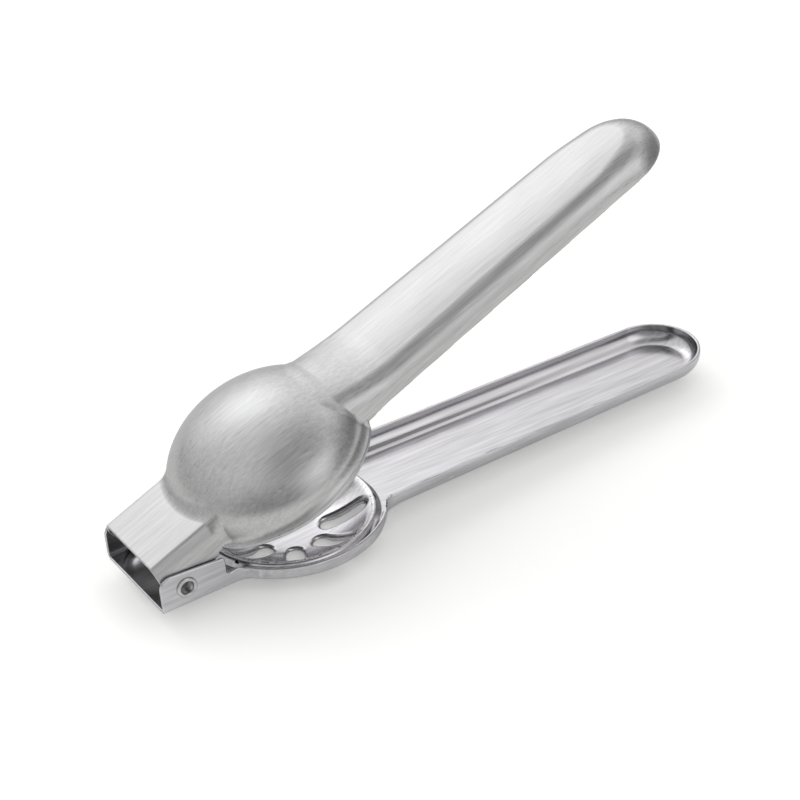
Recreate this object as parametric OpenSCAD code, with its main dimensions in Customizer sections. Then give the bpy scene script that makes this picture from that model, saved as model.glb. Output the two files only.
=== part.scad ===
// Hinged hand press of stamped sheet steel: a domed cup closes over a slotted dish.
// Each arm is one stamping. The arms nest at the hinge and turn on two hollow rivets.
// Millimetres. Origin: middle of the hinge axis. +X towards the handles, +Y across, +Z up.

/* [Sheet] */
// Thickness of the steel sheet
sheet_t = 1.0; // [0.8:0.1:1.2]

/* [Layout] */
// Distance from the hinge axis to the middle of the dish and of the cup
hinge_to_cup = 43.3; // [41:0.1:46]
// Height of the hinge axis above the lower arm's flat underside
hinge_h = 6.2; // [6:0.1:6.6]
// Angle between the arms as drawn; 0 has them parallel
open_angle = 22; // [0:1:60]

/* [Lower arm] */
// Distance from the hinge axis forward to the channel's mouth
channel_front = 8.3; // [8:0.1:9]
// Outside width of the hinge channel
channel_w = 35.6; // [34:0.1:37]
// Height of the channel walls near the mouth
channel_h = 11.7; // [11:0.1:12.5]
// Height of the channel walls where they step down to the dish
channel_step_h = 10.4; // [9.5:0.1:11]
// Outside radius of the slotted dish
dish_r = 30.5; // [29:0.5:32]
// Height of the dish's rim
dish_h = 4.5; // [4:0.1:5.5]
// Depth of the bowl in the dish, from its shoulder to its flat middle
bowl_depth = 7.4; // [6:0.1:8.5]
// Radius of the flat middle of the bowl
bowl_flat_r = 6.0; // [4:0.5:8]
// Number of drain slots
slot_count = 8; // [6:1:10]
// Width of a drain slot
slot_w = 5.4; // [4:0.1:6]
// Lower handle's outside width at the dish
lower_neck_w = 35.2; // [33:0.1:37]
// Lower handle's outside width at its end
lower_end_w = 31.0; // [28:0.1:33]
// Height of the lower handle's walls
lower_wall_h = 6.6; // [5:0.1:8]
// Distance from the hinge axis to the lower handle's tip
lower_tip = 196.7; // [190:0.1:205]
// Downward slope of the lower handle
lower_droop = 0.5; // [0:0.1:1.5]

/* [Upper arm] */
// Outside radius of the cup, above its brim
cup_r = 31.0; // [30:0.1:32]
// Height of the cup's top above the hinge axis
cup_top = 21.8; // [19:0.1:25]
// Height of the brim's top face above the hinge axis
brim_h = 2.3; // [2:0.1:3]
// Width of the flared brim
brim_w = 1.8; // [1:0.1:3]
// Width of the flat plate over the hinge
plate_w = 28.0; // [26:0.1:29]
// Height of the hinge plate's top face above the hinge axis
plate_h = 10.5; // [10:0.1:11]
// Distance from the hinge axis forward to the plate's edge
plate_front = 5.0; // [4:0.1:6]
// Upper handle's outside width at the cup
upper_neck_w = 36.2; // [34:0.1:38]
// Upper handle's outside width at its end
upper_end_w = 30.8; // [29:0.1:33]
// Height of the upper handle's walls
upper_wall_h = 8.2; // [7:0.1:9]
// Height of the upper handle's top face above the hinge axis
upper_top = 11.8; // [11:0.1:13]
// Distance from the hinge axis to the upper handle's tip
upper_tip = 198.0; // [190:0.1:205]

/* [Rivets] */
// Radius of the hole through a hollow rivet
rivet_bore_r = 2.0; // [1.6:0.1:2.1]
// Outside radius of a rivet's shank
rivet_r = 2.5; // [2.3:0.1:2.6]
// Outside radius of a rivet's head
rivet_head_r = 3.3; // [3.2:0.1:3.8]

/* [Hidden] */
$fn = 64;

steel = [0.78, 0.78, 0.80];
rivet_steel = [0.72, 0.72, 0.74];

channel_bend = 1.5;
handle_bend = 4;
upper_bend = 6;
dish_bend = 2;
overlap = 0.5;                                  // how far one piece of sheet runs into the next
reach = 60;                                     // longer than any hollow that it cuts

shoulder_r = 25.5;                              // ring round the bowl, above the gutter
shoulder_z = 3.5;
gutter_r = dish_r - dish_bend - 0.3;            // where the shoulder meets the gutter's floor
slot_in = 9.5;
slot_out = 24.0;

side_gap = 0.25;                                // between the nested hinge walls
flange_y = channel_w / 2 - sheet_t - side_gap;  // outer face of the upper arm's hinge wall
lug_r = 4.0;
flange_knee_z = plate_h - 4.5;                  // where the slanted facet meets the upright wall
pivot_clearance = 0.05;

// each arm is drawn as one stamping and given in three sections, cut where it is a plain channel or tray
lower_cuts = [12.5, 74.5];
upper_cuts = [12, 77];

wall_step_x = hinge_to_cup - dish_r + 0.2;      // where the channel wall steps down
dish_join_x = hinge_to_cup - sqrt(pow(dish_r, 2) - pow(channel_w / 2, 2));

// ---- sheet sections ----

// Floor lip, bend and wall of a folded edge. The outer face is x = 0, the underside is y = 0.
module folded_edge(height, bend) {
    translate([0, bend]) square([sheet_t, height - bend]);
    translate([bend, 0]) square([overlap, sheet_t]);
    intersection() {
        translate([bend, bend]) difference() {
            circle(bend);
            circle(bend - sheet_t);
        }
        square(bend);
    }
}

// Turns a section drawn in Y and Z into a bar along +X
module along_x(length) {
    rotate([90, 0, 90]) linear_extrude(length) children();
}

// Turns an outline drawn in X and Z into a block across the arm
module across(width) {
    rotate([90, 0, 0]) linear_extrude(width, center = true) children();
}

// Angle of a tapered handle's sides, which are tangent to its round end
function taper(neck_x, tip_x, neck_w, end_w) =
    let (length = tip_x - end_w / 2 - neck_x)
    acos(end_w / sqrt(pow(neck_w, 2) + pow(2 * length, 2))) - atan(2 * length / neck_w);

// Plan of a tapered handle with a round end, inset from its outer faces
module handle_plan(neck_x, tip_x, neck_w, end_w, inset) {
    end_x = tip_x - end_w / 2;
    side = taper(neck_x, tip_x, neck_w, end_w);
    end_r = end_w / 2 - inset;
    neck_y = (end_r + (end_x - neck_x) * sin(side)) / cos(side);
    polygon([
        [neck_x, neck_y],
        [end_x + end_r * sin(side), end_r * cos(side)],
        [end_x + end_r * sin(side), -end_r * cos(side)],
        [neck_x, -neck_y]
    ]);
    translate([end_x, 0]) circle(end_r);
}

// Tray with folded walls on both sides and round the end, its underside at z = 0
module handle_tray(neck_x, tip_x, neck_w, end_w, height, bend) {
    end_x = tip_x - end_w / 2;
    side = taper(neck_x, tip_x, neck_w, end_w);
    side_l = (end_x - neck_x + end_w / 2 * sin(side)) / cos(side);
    linear_extrude(sheet_t) handle_plan(neck_x, tip_x, neck_w, end_w, bend + overlap / 2);
    for (s = [0, 1]) mirror([0, s, 0])
        translate([neck_x, -neck_w / 2, 0]) rotate([0, 0, side])
            along_x(side_l) folded_edge(height, bend);
    translate([end_x, 0, 0]) rotate([0, 0, side - 90])
        rotate_extrude(angle = 180 - 2 * side)
            translate([end_w / 2, 0]) mirror([1, 0]) folded_edge(height, bend);
}

// Space inside a handle tray, from its floor upwards
module handle_hollow(neck_x, tip_x, neck_w, end_w) {
    translate([0, 0, sheet_t]) linear_extrude(reach)
        handle_plan(neck_x, tip_x, neck_w, end_w, sheet_t);
}

// The part of an arm between two distances from the hinge
module section(from_x, to_x) {
    intersection() {
        children();
        translate([from_x, -reach, -reach]) cube([to_x - from_x, 2 * reach, 2 * reach]);
    }
}

// ---- lower arm ----

// Height of the dish's upper face at a distance from its middle
function dish_top(r) =
    r < bowl_flat_r ? shoulder_z - bowl_depth
    : r < shoulder_r ? shoulder_z - bowl_depth * (1 - pow((r - bowl_flat_r) / (shoulder_r - bowl_flat_r), 2))
    : sheet_t + (shoulder_z - sheet_t) * (1 + cos(180 * (r - shoulder_r) / (gutter_r - shoulder_r))) / 2;

module dish() {
    steps = 24;
    radii = [for (i = [0 : steps]) gutter_r * i / steps];
    rotate_extrude() {
        polygon(concat(
            [for (r = radii) [r, dish_top(r)]],
            [for (i = [steps : -1 : 0]) [radii[i], dish_top(radii[i]) - sheet_t]]
        ));
        translate([dish_r, 0]) mirror([1, 0]) folded_edge(dish_h, dish_bend);
    }
}

// One radial slot with round ends, drawn in plan
module slot_plan() {
    translate([slot_in + slot_w / 2, -slot_w / 2]) square([slot_out - slot_in - slot_w, slot_w]);
    for (x = [slot_in + slot_w / 2, slot_out - slot_w / 2]) translate([x, 0]) circle(slot_w / 2);
}

module drain_slots() {
    for (i = [0 : slot_count - 1]) rotate((i + 0.5) * 360 / slot_count)
        translate([0, 0, -reach / 2]) linear_extrude(reach) slot_plan();
}

// Side view of the channel's walls: round front corner, sloping top, step down to the dish
module channel_side() {
    corner = 4;
    low_h = dish_h + 0.8;
    translate([-channel_front, 0]) square([corner, channel_h - corner]);
    translate([corner - channel_front, channel_h - corner]) circle(corner);
    polygon([
        [corner - channel_front, 0],
        [corner - channel_front, channel_h],
        [wall_step_x, channel_step_h],
        [wall_step_x, low_h],
        [dish_join_x, dish_h],
        [hinge_to_cup, dish_h],
        [hinge_to_cup, 0]
    ]);
}

module channel() {
    length = channel_front + hinge_to_cup;
    intersection() {
        translate([-channel_front, 0, 0]) along_x(length) {
            for (s = [0, 1]) mirror([s, 0])
                translate([-channel_w / 2, 0]) folded_edge(channel_h, channel_bend);
            translate([channel_bend - channel_w / 2, 0])
                square([channel_w - 2 * channel_bend, sheet_t]);
        }
        across(reach) channel_side();
    }
}

module lower_handle_place(neck_x) {
    translate([neck_x, 0, 0]) rotate([0, lower_droop, 0]) translate([-neck_x, 0, 0]) children();
}

module lower_sheet() {
    neck_x = hinge_to_cup + 20;
    difference() {
        union() {
            channel();
            lower_handle_place(neck_x)
                handle_tray(neck_x, lower_tip, lower_neck_w, lower_end_w, lower_wall_h, handle_bend);
        }
        translate([hinge_to_cup, 0, 0]) {
            translate([0, 0, -reach / 2]) cylinder(reach, r = gutter_r + 0.2);
            translate([0, 0, sheet_t]) cylinder(reach, r = dish_r - sheet_t);
        }
    }
    difference() {
        translate([hinge_to_cup, 0, 0]) dish();
        translate([-channel_front, sheet_t - channel_w / 2, sheet_t])
            cube([hinge_to_cup + channel_front - shoulder_r - 3, channel_w - 2 * sheet_t, reach]);
        intersection() {
            handle_hollow(neck_x, lower_tip, lower_neck_w, lower_end_w);
            translate([hinge_to_cup + shoulder_r + 3, -reach / 2, 0]) cube(reach);
        }
    }
}

module lower_stamping() {
    translate([0, 0, -hinge_h]) difference() {
        lower_sheet();
        translate([hinge_to_cup, 0, 0]) drain_slots();
        translate([0, 0, hinge_h]) rotate([90, 0, 0]) cylinder(reach, r = rivet_r, center = true);
    }
}

module lower_hinge() {
    color(steel) section(-reach, lower_cuts[0]) lower_stamping();
}

module lower_dish() {
    color(steel) section(lower_cuts[0], lower_cuts[1]) lower_stamping();
}

module lower_handle() {
    color(steel) section(lower_cuts[1], lower_tip + reach) lower_stamping();
}

// ---- upper arm, drawn with the arms parallel ----

// Outer profile of the cup from just above its brim, or a parallel one inside it.
// A small flat at the top ends it on the axis.
function cup_arc(inset) = concat(
    [for (a = [5 : 5 : 85])
        [(cup_r - inset) * cos(a), brim_h + brim_w + (cup_top - inset - brim_h - brim_w) * sin(a)]],
    [[0, brim_h + brim_w + (cup_top - inset - brim_h - brim_w) * sin(85)]]
);

// Flare from the cup's wall out to the brim, concave, from the brim's edge inwards
function brim_arc(inset) = [
    for (a = [0 : 15 : 90])
        [cup_r + brim_w - (brim_w + inset) * sin(a), brim_h + brim_w - (brim_w + inset) * cos(a)]
];

function reversed(list) = [for (i = [len(list) - 1 : -1 : 0]) list[i]];

module cup() {
    rotate_extrude() polygon(concat(
        brim_arc(0), cup_arc(0), reversed(cup_arc(sheet_t)), reversed(brim_arc(sheet_t))
    ));
}

// Room kept inside the cup: a cone that follows its wall up to the handle's top face
module cup_hollow() {
    base_z = brim_h + brim_w;
    top_z = upper_top + 1;
    base_r = cup_r - sheet_t;
    top_r = base_r * cos(asin((top_z - base_z) / (cup_top - sheet_t - base_z)));
    rotate_extrude()
        polygon([[0, -reach], [base_r, -reach], [base_r, base_z], [top_r, top_z], [0, top_z]]);
}

// Section of the hinge end: flat plate, slanted facets and upright walls
module hinge_section(inset) {
    facet = atan((flange_y - plate_w / 2) / (plate_h - flange_knee_z));
    half = [
        [flange_y - inset, -reach],
        [flange_y - inset, flange_knee_z - inset * tan(facet / 2)],
        [plate_w / 2 - inset * tan((90 - facet) / 2), plate_h - inset]
    ];
    polygon(concat(half, [for (p = reversed(half)) [-p[0], p[1]]]));
}

// Side view of the hinge walls: a round lug about the axis, widening back to the cup
module hinge_side() {
    circle(lug_r);
    polygon([
        [-plate_front, plate_h + 1],
        [-plate_front - 0.5, flange_knee_z],
        [-lug_r, 0],
        [lug_r * cos(70), -lug_r * sin(70)],
        [hinge_to_cup - cup_r + 1.5, brim_h - sheet_t],
        [hinge_to_cup, brim_h - sheet_t],
        [hinge_to_cup, plate_h + 1]
    ]);
}

module hinge_end() {
    start = -plate_front - 2;
    intersection() {
        translate([start, 0, 0]) along_x(hinge_to_cup - start) difference() {
            hinge_section(0);
            hinge_section(sheet_t);
        }
        across(reach) hinge_side();
    }
}

module upper_handle_place() {
    translate([0, 0, upper_top]) mirror([0, 0, 1]) children();
}

module upper_sheet() {
    neck_x = hinge_to_cup + 20;
    difference() {
        union() {
            hinge_end();
            upper_handle_place()
                handle_tray(neck_x, upper_tip, upper_neck_w, upper_end_w, upper_wall_h, upper_bend);
        }
        translate([hinge_to_cup, 0, 0]) cup_hollow();
    }
    difference() {
        translate([hinge_to_cup, 0, 0]) cup();
        translate([-plate_front, 0, 0]) along_x(hinge_to_cup - 10) hinge_section(sheet_t);
        upper_handle_place() handle_hollow(neck_x, upper_tip, upper_neck_w, upper_end_w);
    }
}

module upper_stamping() {
    difference() {
        upper_sheet();
        rotate([90, 0, 0]) cylinder(reach, r = rivet_r + pivot_clearance, center = true);
    }
}

module upper_hinge() {
    color(steel) rotate([0, -open_angle, 0]) section(-reach, upper_cuts[0]) upper_stamping();
}

module upper_cup() {
    color(steel) rotate([0, -open_angle, 0]) section(upper_cuts[0], upper_cuts[1]) upper_stamping();
}

module upper_handle() {
    color(steel) rotate([0, -open_angle, 0]) section(upper_cuts[1], upper_tip + reach) upper_stamping();
}

// ---- rivets ----

// Hollow rivet along +Y, through one channel wall and the hinge wall nested inside it
module hollow_rivet() {
    wall_out = channel_w / 2;
    wall_in = flange_y - sheet_t;
    head_t = 0.7;
    clinch_t = 0.5;
    clinch_gap = 0.1;
    clinch_r = rivet_head_r - 0.3;
    tube_t = rivet_r - rivet_bore_r;
    inner = wall_in - clinch_gap - clinch_t;
    rotate([-90, 0, 0]) rotate_extrude() {
        translate([rivet_bore_r, inner]) square([tube_t, wall_out + head_t / 2 - inner]);
        translate([rivet_bore_r, inner]) square([clinch_r - rivet_bore_r, clinch_t]);
        translate([rivet_bore_r + head_t / 2, wall_out])
            square([rivet_head_r - rivet_bore_r - head_t, head_t]);
        translate([rivet_bore_r + head_t / 2, wall_out + head_t / 2]) circle(head_t / 2);
        translate([rivet_head_r - head_t / 2, wall_out + head_t / 2]) circle(head_t / 2);
    }
}

module left_rivet() {
    color(rivet_steel) hollow_rivet();
}

module right_rivet() {
    color(rivet_steel) mirror([0, 1, 0]) hollow_rivet();
}

lower_hinge();
lower_dish();
lower_handle();
upper_hinge();
upper_cup();
upper_handle();
right_rivet();
left_rivet();
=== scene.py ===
import math

import bmesh
import bpy
import numpy as np
from mathutils import Matrix, Vector


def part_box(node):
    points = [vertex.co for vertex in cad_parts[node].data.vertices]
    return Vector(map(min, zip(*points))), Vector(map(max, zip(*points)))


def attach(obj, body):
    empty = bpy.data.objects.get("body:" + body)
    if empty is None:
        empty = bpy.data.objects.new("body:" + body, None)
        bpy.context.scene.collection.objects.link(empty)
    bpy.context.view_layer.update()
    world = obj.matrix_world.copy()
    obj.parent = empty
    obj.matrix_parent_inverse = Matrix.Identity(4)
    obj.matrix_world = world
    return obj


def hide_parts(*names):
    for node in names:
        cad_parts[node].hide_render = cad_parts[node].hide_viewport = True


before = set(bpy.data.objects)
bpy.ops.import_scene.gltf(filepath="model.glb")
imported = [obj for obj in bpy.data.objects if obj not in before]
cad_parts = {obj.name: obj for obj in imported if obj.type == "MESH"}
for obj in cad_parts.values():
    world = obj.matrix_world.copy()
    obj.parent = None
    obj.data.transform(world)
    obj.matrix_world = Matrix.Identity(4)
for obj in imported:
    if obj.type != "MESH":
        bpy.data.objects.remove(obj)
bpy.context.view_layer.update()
MM = 0.001

# ---------------------------------------------------------------- camera

CAMERA_AZIMUTH = -30.09
CAMERA_ELEVATION = 32.60
CAMERA_ROLL = -5.30
CAMERA_DISTANCE = 0.70625
CAMERA_TARGET = Vector((0.08577, 0.0, 0.0190))
CAMERA_LENS = 105.486
SENSOR_WIDTH = 36


def make_camera():
    a, e = math.radians(CAMERA_AZIMUTH), math.radians(CAMERA_ELEVATION)
    back = Vector((math.sin(a) * math.cos(e), -math.cos(a) * math.cos(e), math.sin(e)))
    right = Vector((math.cos(a), math.sin(a), 0.0))
    up = back.cross(right)
    r = math.radians(CAMERA_ROLL)
    right, up = right * math.cos(r) + up * math.sin(r), up * math.cos(r) - right * math.sin(r)
    data = bpy.data.cameras.new("camera")
    data.lens, data.sensor_width = CAMERA_LENS, SENSOR_WIDTH
    cam = bpy.data.objects.new("camera", data)
    bpy.context.scene.collection.objects.link(cam)
    place = CAMERA_TARGET + back * CAMERA_DISTANCE
    cam.matrix_world = Matrix((
        (right.x, up.x, back.x, place.x),
        (right.y, up.y, back.y, place.y),
        (right.z, up.z, back.z, place.z),
        (0, 0, 0, 1),
    ))
    bpy.context.scene.camera = cam


make_camera()

# ---------------------------------------------------------------- distance helpers (millimetres)


def union_round(a, b, r):
    """Union of two bodies with a concave fillet."""
    u, v = np.maximum(r - a, 0), np.maximum(r - b, 0)
    return np.maximum(r, np.minimum(a, b)) - np.sqrt(u * u + v * v)


def cut_round(a, b, r):
    """What two bodies share, with the edge between them rounded."""
    u, v = np.maximum(r + a, 0), np.maximum(r + b, 0)
    return np.minimum(-r, np.maximum(a, b)) + np.sqrt(u * u + v * v)


def ease(x, a, b):
    """Runs smoothly from 0 at a to 1 at b."""
    t = np.clip((x - a) / (b - a), 0, 1)
    return t * t * (3 - 2 * t)


def outline(x, z, points):
    """Signed distance to a closed outline, negative inside."""
    best = np.full(x.shape, 1e9)
    inside = np.zeros(x.shape, bool)
    for (x0, z0), (x1, z1) in zip(points, points[1:] + points[:1]):
        ex, ez = x1 - x0, z1 - z0
        wx, wz = x - x0, z - z0
        t = np.clip((wx * ex + wz * ez) / (ex * ex + ez * ez + 1e-12), 0, 1)
        dx, dz = wx - ex * t, wz - ez * t
        best = np.minimum(best, dx * dx + dz * dz)
        up = (z0 <= z) != (z1 <= z)
        cross = np.where(ez == 0, 1e9, x0 + ex * (z - z0) / (ez if ez else 1))
        inside ^= up & (x < cross)
    return np.where(inside, -1, 1) * np.sqrt(best)


def arc(cx, cz, r, a0, a1, n=8):
    """Points on an arc from angle a0 to a1, in degrees."""
    return [(cx + r * math.cos(math.radians(a0 + (a1 - a0) * i / n)),
             cz + r * math.sin(math.radians(a0 + (a1 - a0) * i / n))) for i in range(n + 1)]


def tapered_plan(x, y, x0, x1, w0, w1):
    """Distance to a plan whose half width runs from w0 at x0 to w1, with a round end at x1."""
    end = x1 - w1
    lean = math.asin(min(1, (w0 - w1) / math.hypot(end - x0, w0 - w1)))
    ay = np.abs(y)
    side = (ay - w1) * math.cos(lean) + (x - end) * math.sin(lean) - w1 * (1 - math.cos(lean))
    tip = np.hypot(x - end, ay) - w1
    along = (x - end) * math.cos(lean) - ay * math.sin(lean)
    return np.where(along > 0, tip, side)


# ---------------------------------------------------------------- both arms

T = 1.0                     # thickness of the sheet
CUP_X = 43.3                # from the hinge axis to the middle of the dish and of the cup
HANDLE_X = 63.3             # where the handles start to taper
EDGE_ROUND = 0.28           # on the cut edges of the sheet

# ---------------------------------------------------------------- lower arm, drawn up from its underside

HINGE_H = 6.2               # the hinge axis above the underside
CHANNEL_HALF = 17.8         # half width of the hinge channel
LOWER_TIP = 196.7
LOWER_NECK_HALF, LOWER_END_HALF = 17.6, 15.5
DROOP = math.tan(math.radians(0.5))
DISH_R = 30.5
PLAN_FILLET = 1.6           # where channel, dish and handle meet in plan
SHOULDER_R, SHOULDER_Z = 25.5, 3.5
FLAT_R, BOWL = 6.0, 7.4     # flat middle of the bowl, and depth of the bowl
GUTTER_RUN = 2.9            # from the shoulder out to the level gutter
CREST_RUN, CREST_CUT = 1.6, 0.30
SLOTS, SLOT_IN, SLOT_OUT, SLOT_HALF = 8, 9.5, 24.0, 2.7
LIP_DEPTH, LIP_FOOT = 1.3, -4.85
LIP_FILLET, LIP_ROUND, LIP_EDGE = 0.45, 1.25, 0.22
RIVET_SEAT_R = 2.5

LOWER_SIDE = (
    [(-8.3, -30.0)] + arc(-4.5, 7.9, 3.8, 180, 92) + [(12.0, 10.5)] + arc(12.2, 9.7, 0.8, 80, 0, 4)
    + arc(13.9, 5.55, 0.9, 180, 262, 4) + [(15.6, 4.95)] + arc(16.4, 4.6, 0.5, 120, 75, 3)
    + [(18.6, 4.5), (40.0, 4.5), (66.4, 4.5)] + arc(66.6, 5.3, 0.8, 270, 345, 3)
    + arc(68.2, 5.7, 0.8, 165, 92, 4) + [(69.4, 6.55), (202.0, 6.6 - 138.7 * DROOP), (202.0, -30.0)]
)


def lower_floor(x, y):
    """Height of the underside, and its steepness."""
    r = np.hypot(x - CUP_X, y)
    s = np.clip((r - FLAT_R) / (SHOULDER_R - FLAT_R), 0, 1)
    bowl = SHOULDER_Z - T - BOWL * (1 - s * s)
    bowl_slope = BOWL * 2 * s / (SHOULDER_R - FLAT_R)
    # the shoulder turns over and runs out level in the gutter
    k = np.clip((r - SHOULDER_R) / GUTTER_RUN, 0, 1)
    rim = (SHOULDER_Z - T) * (1 + np.cos(np.pi * k)) / 2
    rim_slope = (SHOULDER_Z - T) * np.pi / (2 * GUTTER_RUN) * np.sin(np.pi * k)
    inner = r < SHOULDER_R
    z = np.where(inner, bowl, rim)
    slope = np.where(inner, bowl_slope, -rim_slope)
    # the crest between the two is taken down a little, so that its edge is soft
    c = np.clip(1 - np.abs(r - SHOULDER_R) / CREST_RUN, 0, 1)
    z = z - CREST_CUT * c * c
    z = z - np.clip(x - HANDLE_X, 0, None) * DROOP
    return z, slope


def lower_bend(x, y):
    """Radius of the bend between floor and walls: tight at the hinge, round along the handle."""
    bend = 1.2 + 0.8 * ease(x, 13, 24) + 3.5 * ease(x, 58, 76)
    # the channel's far corner is rounder
    return bend + 1.1 * ease(y, 0, 8) * (1 - ease(x, 8, 22))


def slot_plan(x, y):
    """Distance to the nearest of the drain slots, seen from above."""
    r = np.hypot(x - CUP_X, y)
    turn = 2 * math.pi / SLOTS
    a = np.mod(np.arctan2(y, x - CUP_X), turn) - turn / 2
    u, v = r * np.cos(a), r * np.sin(a)
    return np.hypot(u - np.clip(u, SLOT_IN + SLOT_HALF, SLOT_OUT - SLOT_HALF), v) - SLOT_HALF


def lower_arm(x, y, z):
    z = z + HINGE_H
    ay = np.abs(y)
    channel = np.maximum(ay - CHANNEL_HALF, x - CUP_X)
    dish = np.hypot(x - CUP_X, ay) - DISH_R
    handle = tapered_plan(x, y, HANDLE_X, LOWER_TIP, LOWER_NECK_HALF, LOWER_END_HALF)
    handle = np.maximum(handle, 50.0 - x)
    plan = union_round(union_round(dish, channel, PLAN_FILLET), handle, PLAN_FILLET)
    floor, slope = lower_floor(x, y)
    steep = np.sqrt(1 + slope * slope)
    under = (floor - z) / steep
    skin = cut_round(plan, under, lower_bend(x, y))
    sheet = np.maximum(skin, -T - skin)

    # each slot's edge is turned down into a lip
    slot = slot_plan(x, y)
    top = (z - floor) / steep - T
    foot = np.maximum(floor - LIP_DEPTH, LIP_FOOT)
    plug = np.maximum(np.maximum(slot - T, (foot - z) / steep), top)
    sheet = np.where(slot < 4, union_round(sheet, plug, LIP_FILLET), sheet)
    lip = cut_round(top, -slot, LIP_ROUND)
    edge = cut_round(sheet, -slot, LIP_EDGE)
    sheet = np.where(slot < 1.5, np.maximum(edge, lip), sheet)

    sheet = cut_round(sheet, outline(x, z, LOWER_SIDE), EDGE_ROUND)
    hole = RIVET_SEAT_R - np.hypot(x, z - HINGE_H)
    return np.maximum(sheet, hole)


# ---------------------------------------------------------------- upper arm, drawn with the arms parallel

OPEN = math.radians(22)      # angle between the arms as they are shown
CUP_R, CUP_BASE, CUP_RISE = 31.0, 4.1, 17.7
BRIM_Z, BRIM_R = 1.7, 32.8
BRIM_OUT = 34.6             # the brim is drawn out to here, then cut off at BRIM_R
HANDLE_TOP, HANDLE_EDGE = 11.8, 3.6
UPPER_TIP = 198.0
UPPER_NECK_HALF, UPPER_END_HALF = 18.1, 15.4
SWELL = 5.2                 # rise of the handle into the cup, on the middle line
PLATE_HALF, PLATE_Z = 14.0, 10.5
FLANGE_HALF = 16.55         # outer face of the walls that nest in the channel
FACET = math.atan2(2.55, 4.5)
PIVOT_HOLE_R = 2.55

UPPER_SIDE = (
    arc(0, 0, 4.0, 180, 290, 10) + [(14.6, 0.9), (17.0, -20.0), (66.0, -20.0), (70.0, 1.2)]
    + arc(71.0, 1.9, 0.9, 200, 130, 4) + [(73.0, 3.1), (76.5, 3.5), (80.0, HANDLE_EDGE)]
    + [(203.0, HANDLE_EDGE), (203.0, 45.0), (-4.7, 45.0), (-5.0, 10.8), (-5.5, 6.0)]
)


def dome_part(x, y, z):
    """The cup: half an ellipsoid on an upright wall."""
    px, py = (x - CUP_X) / CUP_R, y / CUP_R
    pz = np.maximum(z - CUP_BASE, 0) / CUP_RISE
    k0 = np.sqrt(px * px + py * py + pz * pz) + 1e-9
    k1 = np.sqrt((px / CUP_R) ** 2 + (py / CUP_R) ** 2 + (pz / CUP_RISE) ** 2) + 1e-9
    return k0 * (k0 - 1) / k1


def handle_part(plan, x, y, z):
    """The handle: a rounded tray turned over, slightly crowned, which swells up to the cup."""
    ay = np.abs(y)
    crown = 1.20 * (1 - np.clip(ay / 15.0, 0, 1) ** 2) - 0.85
    far_swell = SWELL * (1 - np.clip(ay / 16.8, 0, 1) ** 3)
    near_swell = SWELL - 1.4 * np.clip(ay / 15.0, 0, 1.2) ** 2
    swell = np.where(y > 0, far_swell, near_swell) * (1 - ease(x, 58, 88))
    level = z - (HANDLE_TOP + crown + swell)
    return cut_round(plan, level, 6.0 + 4.0 * ease(x, 168, 192))


def hinge_part(x, y, z):
    """The hinge end: a flat plate, slanted facets and upright walls."""
    ay = np.abs(y)
    slant = (ay - PLATE_HALF) * math.cos(FACET) + (z - PLATE_Z) * math.sin(FACET)
    hinge = cut_round(z - PLATE_Z, slant, 0.7)
    hinge = cut_round(hinge, ay - FLANGE_HALF, 1.0)
    return np.maximum(hinge, x - CUP_X)


def upper_arm(x, y, z):
    rho = np.hypot(x - CUP_X, y)
    plan = tapered_plan(x, y, HANDLE_X, UPPER_TIP, UPPER_NECK_HALF, UPPER_END_HALF)
    plan = np.maximum(plan, 40.0 - x)
    dome, handle = dome_part(x, y, z), handle_part(plan, x, y, z)
    cover = union_round(dome, handle, 0.8)
    # a thin raised line runs where the cup meets the handle
    line = np.hypot(dome, handle) + 0.3 - 0.95 * ease(z, 7, 12)
    cover = union_round(cover, line, 0.4)
    cover = union_round(cover, hinge_part(x, y, z), 2.2)
    brim = np.maximum(z - BRIM_Z, rho - BRIM_OUT)
    cover = union_round(cover, brim, 1.0 + 3.0 * ease(x, 13, 26))
    sheet = np.maximum(cover, -T - cover)

    # the sheet is trimmed to the brim's edge, the handle's plan and the hinge walls
    walls = np.maximum(np.abs(y) - (FLANGE_HALF + 0.05), x - CUP_X)
    keep = np.minimum(np.minimum(rho - BRIM_R, plan), walls)
    sheet = cut_round(sheet, keep, EDGE_ROUND)
    sheet = cut_round(sheet, outline(x, z, UPPER_SIDE), EDGE_ROUND)
    hole = PIVOT_HOLE_R - np.hypot(x, z)
    return np.maximum(sheet, hole)


# ---------------------------------------------------------------- mesher

BATCH = 600                 # blocks worked out at a time
MAX_FACES = 180000          # triangles kept in one arm
STEP = 0.36


def gradient(f, p, e=0.02):
    """Direction in which f grows at the points p, from differences over a short way e."""
    g = np.empty_like(p)
    for k in range(3):
        q = p.copy()
        q[:, k] += e
        hi = f(q[:, 0], q[:, 1], q[:, 2])
        q[:, k] -= 2 * e
        g[:, k] = (hi - f(q[:, 0], q[:, 1], q[:, 2])) / (2 * e)
    return g


def near_blocks(f, low, high, size, reach):
    """Centres of the blocks that the surface may cross."""
    axes = [np.arange(l + size / 2, h + size, size) for l, h in zip(low, high)]
    grid = np.meshgrid(*axes, indexing="ij")
    c = np.stack([g.ravel() for g in grid], 1)
    d = f(c[:, 0], c[:, 1], c[:, 2])
    return c[np.abs(d) < reach]


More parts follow.
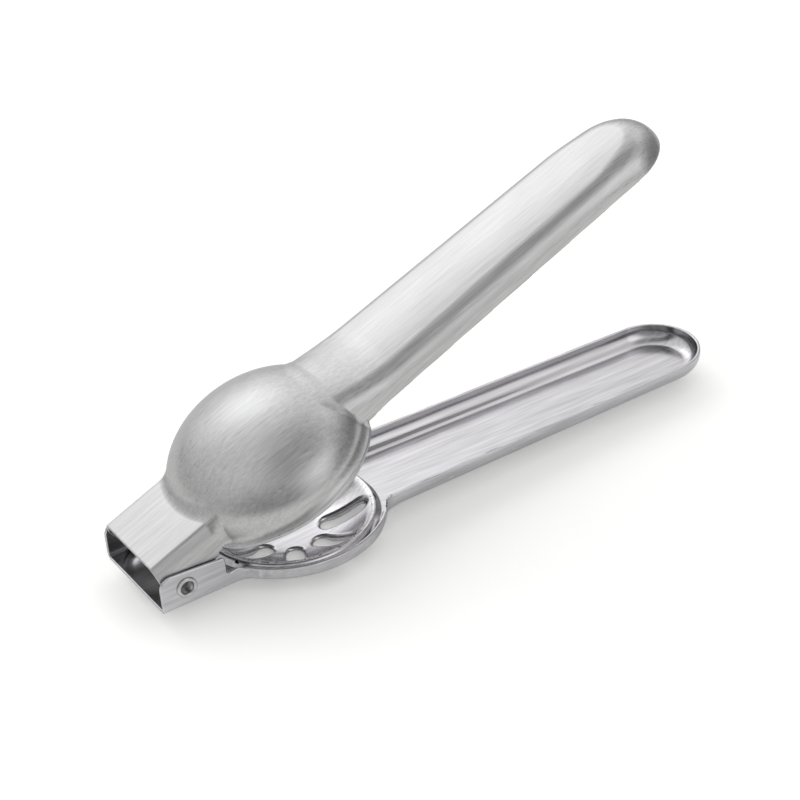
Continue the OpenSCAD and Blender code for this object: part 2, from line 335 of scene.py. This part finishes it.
def surface_mesh(f, low, high, step, block=8):
    """Closed quad mesh of f = 0: one vertex in each crossed cell, moved onto the surface."""
    low = np.array(low, float)
    size = step * block
    centres = near_blocks(f, low, high, size, size * 1.05)
    first = np.rint((centres - size / 2 - low) / step).astype(np.int64)
    local = np.stack(np.meshgrid(*[np.arange(block + 1)] * 3, indexing="ij"), -1).reshape(-1, 3)
    values = np.empty((len(first), len(local)), np.float32)
    for s in range(0, len(first), BATCH):
        corner = (first[s:s + BATCH, None, :] + local[None]).reshape(-1, 3) * step + low
        values[s:s + BATCH] = f(corner[:, 0], corner[:, 1], corner[:, 2]).reshape(-1, len(local))
    values = values.reshape(-1, block + 1, block + 1, block + 1)
    solid = values < 0
    corners = [(i, j, k) for i in (0, 1) for j in (0, 1) for k in (0, 1)]
    views = {c: solid[:, c[0]:c[0] + block, c[1]:c[1] + block, c[2]:c[2] + block] for c in corners}
    count = sum(v.astype(np.int8) for v in views.values())
    b, i, j, k = np.nonzero((count > 0) & (count < 8))
    # start each vertex at the mean of the cell's edge crossings
    total, hits = np.zeros((len(b), 3)), np.zeros(len(b))
    for c in corners:
        for axis in range(3):
            if c[axis]:
                continue
            d = tuple(c[m] + (m == axis) for m in range(3))
            v0 = values[b, i + c[0], j + c[1], k + c[2]].astype(float)
            v1 = values[b, i + d[0], j + d[1], k + d[2]].astype(float)
            cross = (v0 < 0) != (v1 < 0)
            t = np.where(cross, v0 / np.where(cross, v0 - v1, 1), 0)
            p = np.tile(np.array(c, float), (len(b), 1))
            p[:, axis] += t
            total += p * cross[:, None]
            hits += cross
    cell = first[b] + np.stack([i, j, k], 1)
    verts = (cell + total / hits[:, None]) * step + low
    span = cell.max(0) + 3
    key = (cell[:, 0] * span[1] + cell[:, 1]) * span[2] + cell[:, 2]
    order = np.argsort(key)
    sorted_key = key[order]

    def find(c):
        """Number of the vertex in each cell c, or -1."""
        q = (c[:, 0] * span[1] + c[:, 1]) * span[2] + c[:, 2]
        at = np.clip(np.searchsorted(sorted_key, q), 0, len(sorted_key) - 1)
        return np.where(sorted_key[at] == q, order[at], -1)

    quads = []
    for axis in range(3):
        o1, o2 = [m for m in range(3) if m != axis]
        far = tuple(int(m == axis) for m in range(3))
        s0, s1 = solid[b, i, j, k], solid[b, i + far[0], j + far[1], k + far[2]]
        use = s0 != s1
        base, flip = cell[use], s1[use]
        ring = []
        for a0, a1 in ((0, 0), (-1, 0), (-1, -1), (0, -1)):
            c = base.copy()
            c[:, o1] += a0
            c[:, o2] += a1
            ring.append(find(c))
        q = np.stack(ring, 1)
        flip = flip ^ (axis == 1)
        q[flip] = q[flip][:, ::-1]
        quads.append(q[(q >= 0).all(1)])
    return verts, np.concatenate(quads)


def settle(f, verts, step, rounds=4):
    """Newton steps onto the surface, each kept short."""
    for _ in range(rounds):
        d = f(verts[:, 0], verts[:, 1], verts[:, 2])
        g = gradient(f, verts)
        n2 = np.maximum((g * g).sum(1), 0.05)
        move = -(d / n2)[:, None] * g
        far = np.linalg.norm(move, axis=1, keepdims=True)
        verts = verts + move * np.minimum(1, 0.5 * step / np.maximum(far, 1e-9))
    return verts


def relax(verts, quads, share):
    """Each vertex goes a share of the way to the mean of its neighbours."""
    total, hits = np.zeros_like(verts), np.zeros(len(verts))
    for a in range(4):
        for c in (quads[:, (a + 1) % 4], quads[:, (a + 3) % 4]):
            for m in range(3):
                total[:, m] += np.bincount(quads[:, a], verts[c, m], len(verts))
            hits += np.bincount(quads[:, a], minlength=len(verts))
    mean = total / np.maximum(hits, 1)[:, None]
    return verts + (mean - verts) * share


def thinned(piece, ratio):
    """The piece's mesh with fewer triangles where it is flat."""
    thin = piece.modifiers.new("thin", "DECIMATE")
    thin.ratio = ratio
    bpy.context.view_layer.update()
    done = piece.evaluated_get(bpy.context.evaluated_depsgraph_get())
    mesh = bpy.data.meshes.new_from_object(done)
    piece.modifiers.clear()
    piece.data = mesh
    mesh.name = piece.name
    return mesh


def sheet_piece(name, f, low, high, step, turn=0.0):
    """A mesh of one arm's steel sheet, turned about the hinge axis."""
    verts, quads = surface_mesh(f, low, high, step)
    for _ in range(2):
        verts = relax(settle(f, verts, step, 2), quads, 0.35)
    verts = settle(f, verts, step, 4)
    mesh = bpy.data.meshes.new(name)
    mesh.from_pydata(verts.tolist(), [], quads.tolist())
    mesh.update()
    piece = bpy.data.objects.new(name, mesh)
    bpy.context.scene.collection.objects.link(piece)
    if 2 * len(quads) > MAX_FACES:
        mesh = thinned(piece, MAX_FACES / (2 * len(quads)))
    bm = bmesh.new()
    bm.from_mesh(mesh)
    bmesh.ops.remove_doubles(bm, verts=bm.verts, dist=step * 0.2)
    bmesh.ops.dissolve_degenerate(bm, edges=bm.edges, dist=step * 0.1)
    bm.to_mesh(mesh)
    bm.free()
    co = np.empty(len(mesh.vertices) * 3)
    mesh.vertices.foreach_get("co", co)
    co = settle(f, co.reshape(-1, 3), step * 0.3, 2)
    # the shading normals come from the exact surface
    normal = gradient(f, co, 0.05)
    normal /= np.maximum(np.linalg.norm(normal, axis=1, keepdims=True), 1e-9)
    c, s = math.cos(turn), math.sin(turn)
    spin = np.array([[c, 0, -s], [0, 1, 0], [s, 0, c]])
    co, normal = co @ spin.T * MM, normal @ spin.T
    mesh.vertices.foreach_set("co", co.ravel())
    mesh.polygons.foreach_set("use_smooth", np.ones(len(mesh.polygons), bool))
    mesh.update()
    mesh.normals_split_custom_set_from_vertices(normal.tolist())
    mesh.update()
    return piece


lower = sheet_piece("lower_arm_sheet", lower_arm, (-9.5, -32, -12.2), (198, 32, 7), STEP)
upper = sheet_piece("upper_arm_sheet", upper_arm, (-6.7, -34, -5), (199.5, 34, 23), STEP, OPEN)


# ---------------------------------------------------------------- rivets

RIVET_BORE_R, RIVET_SHANK_R = 2.0, 2.5

def lathe(name, profile, side, count=64):
    """Ring swept round the hinge axis. The profile is (radius, distance along the axis)."""
    verts, faces = [], []
    n = len(profile)
    for i in range(count):
        a = 2 * math.pi * i / count
        for r, y in profile:
            verts.append((r * math.cos(a) * MM, side * y * MM, r * math.sin(a) * MM))
    for i in range(count):
        for j in range(n):
            a, b = i * n + j, i * n + (j + 1) % n
            c, d = ((i + 1) % count) * n + (j + 1) % n, ((i + 1) % count) * n + j
            faces.append((a, b, c, d) if side > 0 else (d, c, b, a))
    mesh = bpy.data.meshes.new(name)
    mesh.from_pydata(verts, [], faces)
    mesh.polygons.foreach_set("use_smooth", [True] * len(faces))
    mesh.update()
    piece = bpy.data.objects.new(name, mesh)
    bpy.context.scene.collection.objects.link(piece)
    return piece


def rivet_profile():
    """A tube whose outer end rolls over into a lip, and whose inner end is clinched."""
    lip = arc(2.65, 17.86, 0.62, 180, 0, 14)
    inner = arc(2.6, 15.3, 0.38, 0, -180, 8)
    shank = [(3.2, 17.80), (RIVET_SHANK_R, 17.79), (RIVET_SHANK_R, 15.5)]
    return [(RIVET_BORE_R, 17.6)] + lip + shank + inner + [(RIVET_BORE_R, 15.2)]


right_rivet = lathe("right_rivet_steel", rivet_profile(), -1)
left_rivet = lathe("left_rivet_steel", rivet_profile(), 1)

# ---------------------------------------------------------------- materials


def nodes_of(name):
    """A new material with one Principled shader."""
    m = bpy.data.materials.new(name)
    m.use_nodes = True
    nt = m.node_tree
    nt.nodes.clear()
    out = nt.nodes.new("ShaderNodeOutputMaterial")
    shader = nt.nodes.new("ShaderNodeBsdfPrincipled")
    nt.links.new(shader.outputs[0], out.inputs[0])
    return m, nt, shader


def steel(name, colour, rough, spread, grain, grain_depth, turn=0.0):
    """Stainless sheet with a brushed grain along the arm and faint handling marks."""
    m, nt, shader = nodes_of(name)
    new, link = nt.nodes.new, nt.links.new
    shader.inputs["Metallic"].default_value = 1.0
    shader.inputs["Specular Tint"].default_value = (0.75, 0.75, 0.76, 1)
    place = new("ShaderNodeTexCoord")
    turned = new("ShaderNodeMapping")
    turned.inputs["Rotation"].default_value = (0, turn, 0)
    link(place.outputs["Object"], turned.inputs["Vector"])

    def streaks(along, across, detail):
        scale = new("ShaderNodeMapping")
        scale.inputs["Scale"].default_value = (along, across, across)
        link(turned.outputs[0], scale.inputs["Vector"])
        n = new("ShaderNodeTexNoise")
        n.inputs["Scale"].default_value = 1.0
        n.inputs["Detail"].default_value = detail
        n.inputs["Roughness"].default_value = 0.6
        link(scale.outputs[0], n.inputs["Vector"])
        return n.outputs["Fac"]

    def mix(a, b, factor):
        n = new("ShaderNodeMix")
        n.data_type = "FLOAT"
        n.inputs[0].default_value = factor
        link(a, n.inputs[2])
        link(b, n.inputs[3])
        return n.outputs[0]

    def spread_to(value, low, high, start=0.3, stop=0.7):
        """Takes a value that runs from start to stop to one that runs from low to high."""
        n = new("ShaderNodeMapRange")
        n.inputs["From Min"].default_value = start
        n.inputs["From Max"].default_value = stop
        n.inputs["To Min"].default_value = low
        n.inputs["To Max"].default_value = high
        link(value, n.inputs["Value"])
        return n.outputs[0]

    fine = streaks(*grain[0], 1)
    broad = streaks(*grain[1], 2)
    cloud = streaks(28, 28, 2)
    both = mix(fine, broad, 0.4)
    rough_now = spread_to(mix(both, cloud, 0.35), rough - spread, rough + spread)
    link(rough_now, shader.inputs["Roughness"])
    ramp = new("ShaderNodeValToRGB")
    ramp.color_ramp.elements[0].position = 0.30
    ramp.color_ramp.elements[1].position = 0.72
    ramp.color_ramp.elements[0].color = (*[c * 0.80 for c in colour], 1)
    ramp.color_ramp.elements[1].color = (*[min(1, c * 1.14) for c in colour], 1)
    link(both, ramp.inputs["Fac"])
    # painted highlight: cut edges and bends get a little brighter base colour, standing in for the light
    # they catch
    geometry = new("ShaderNodeNewGeometry")
    edge = spread_to(geometry.outputs["Pointiness"], 0, 1, 0.53, 0.62)
    bright = new("ShaderNodeMix")
    bright.data_type = "RGBA"
    link(edge, bright.inputs[0])
    link(ramp.outputs["Color"], bright.inputs[6])
    bright.inputs[7].default_value = (*[min(1, c * 1.12) for c in colour], 1)
    link(bright.outputs[2], shader.inputs["Base Color"])
    bump = new("ShaderNodeBump")
    bump.inputs["Strength"].default_value = 1.0
    bump.inputs["Distance"].default_value = grain_depth
    link(both, bump.inputs["Height"])
    link(bump.outputs[0], shader.inputs["Normal"])
    return m


brushed = steel("brushed_sheet", (0.44, 0.44, 0.441), 0.32, 0.08, ((90, 2400), (30, 800)), 0.000009, OPEN)
satin = steel("satin_sheet", (0.50, 0.492, 0.510), 0.19, 0.05, ((60, 900), (20, 300)), 0.000002)
rivet_metal = steel("rivet_steel", (0.50, 0.50, 0.508), 0.36, 0.06, ((300, 900), (200, 400)), 0.000003)

for piece, material, nodes, body, slot in (
    (lower, satin, ("lower_hinge", "lower_dish", "lower_handle"), "lower", "satin_sheet"),
    (upper, brushed, ("upper_hinge", "upper_cup", "upper_handle"), "upper", "brushed_sheet"),
    (right_rivet, rivet_metal, ("right_rivet",), "lower", "rivet_steel"),
    (left_rivet, rivet_metal, ("left_rivet",), "lower", "rivet_steel"),
):
    piece.data.materials.clear()
    piece.data.materials.append(material)
    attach(piece, body)
    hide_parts(*nodes)

# ---------------------------------------------------------------- floor and light

FLOOR_HALF = 4.0             # metres
FLOOR_GAP = 0.0003          # below the bowl that the press stands on


def make_floor():
    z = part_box("lower_dish")[0].z - FLOOR_GAP
    h = FLOOR_HALF
    mesh = bpy.data.meshes.new("floor")
    mesh.from_pydata([(-h, -h, z), (h, -h, z), (h, h, z), (-h, h, z)], [], [(0, 1, 2, 3)])
    floor = bpy.data.objects.new("floor", mesh)
    bpy.context.scene.collection.objects.link(floor)
    material, _, shader = nodes_of("floor")
    shader.inputs["Base Color"].default_value = (0.93, 0.93, 0.915, 1)
    shader.inputs["Emission Color"].default_value = (1.0, 1.0, 0.985, 1)
    shader.inputs["Emission Strength"].default_value = 0.23
    shader.inputs["Roughness"].default_value = 0.85
    shader.inputs["Specular IOR Level"].default_value = 0.15
    mesh.materials.append(material)


def studio():
    """Soft room light: paler overhead, with bright windows behind and in front, and dark corners."""
    world = bpy.data.worlds.new("studio")
    bpy.context.scene.world = world
    world.use_nodes = True
    nt = world.node_tree
    new, link = nt.nodes.new, nt.links.new
    back = nt.nodes["Background"]
    place = new("ShaderNodeTexCoord")

    def lobe(way, near, far, start, stop):
        """Brightness that runs from start to stop as a direction comes round to way."""
        dot = new("ShaderNodeVectorMath")
        dot.operation = "DOT_PRODUCT"
        dot.inputs[1].default_value = Vector(way).normalized()
        link(place.outputs["Generated"], dot.inputs[0])
        span = new("ShaderNodeMapRange")
        span.interpolation_type = "SMOOTHSTEP"
        span.inputs["From Min"].default_value = math.cos(math.radians(far))
        span.inputs["From Max"].default_value = math.cos(math.radians(near))
        span.inputs["To Min"].default_value = start
        span.inputs["To Max"].default_value = stop
        link(dot.outputs["Value"], span.inputs["Value"])
        return span.outputs["Result"]

    def join(operation, a, b):
        n = new("ShaderNodeMath")
        n.operation = operation
        link(a, n.inputs[0])
        link(b, n.inputs[1])
        return n.outputs[0]

    # where each lobe points, its inner and outer angle in degrees, and what it adds or scales by
    total = lobe((0, 0, 1), 10, 100, 0.60, 1.15)
    total = join("MULTIPLY", total, lobe((-0.05, -0.22, 0.97), 8, 38, 1.0, 0.46))
    total = join("ADD", total, lobe((0.08, 0.87, 0.49), 6, 38, 0.0, 0.74))
    total = join("ADD", total, lobe((0.02, 0.80, 0.60), 3, 16, 0.0, 0.80))
    total = join("ADD", total, lobe((0.65, 0.35, 0.70), 5, 26, 0.0, 0.25))
    total = join("ADD", total, lobe((0.30, -1.0, 0.58), 6, 34, 0.0, 0.70))
    total = join("MULTIPLY", total, lobe((1.0, -0.35, 0.22), 10, 50, 1.0, 0.42))
    total = join("MULTIPLY", total, lobe((-0.75, -1.0, 0.10), 10, 62, 1.0, 0.50))
    link(total, back.inputs["Color"])
    back.inputs["Strength"].default_value = 1.0


make_floor()
studio()
bpy.context.scene.view_settings.view_transform = "Standard"
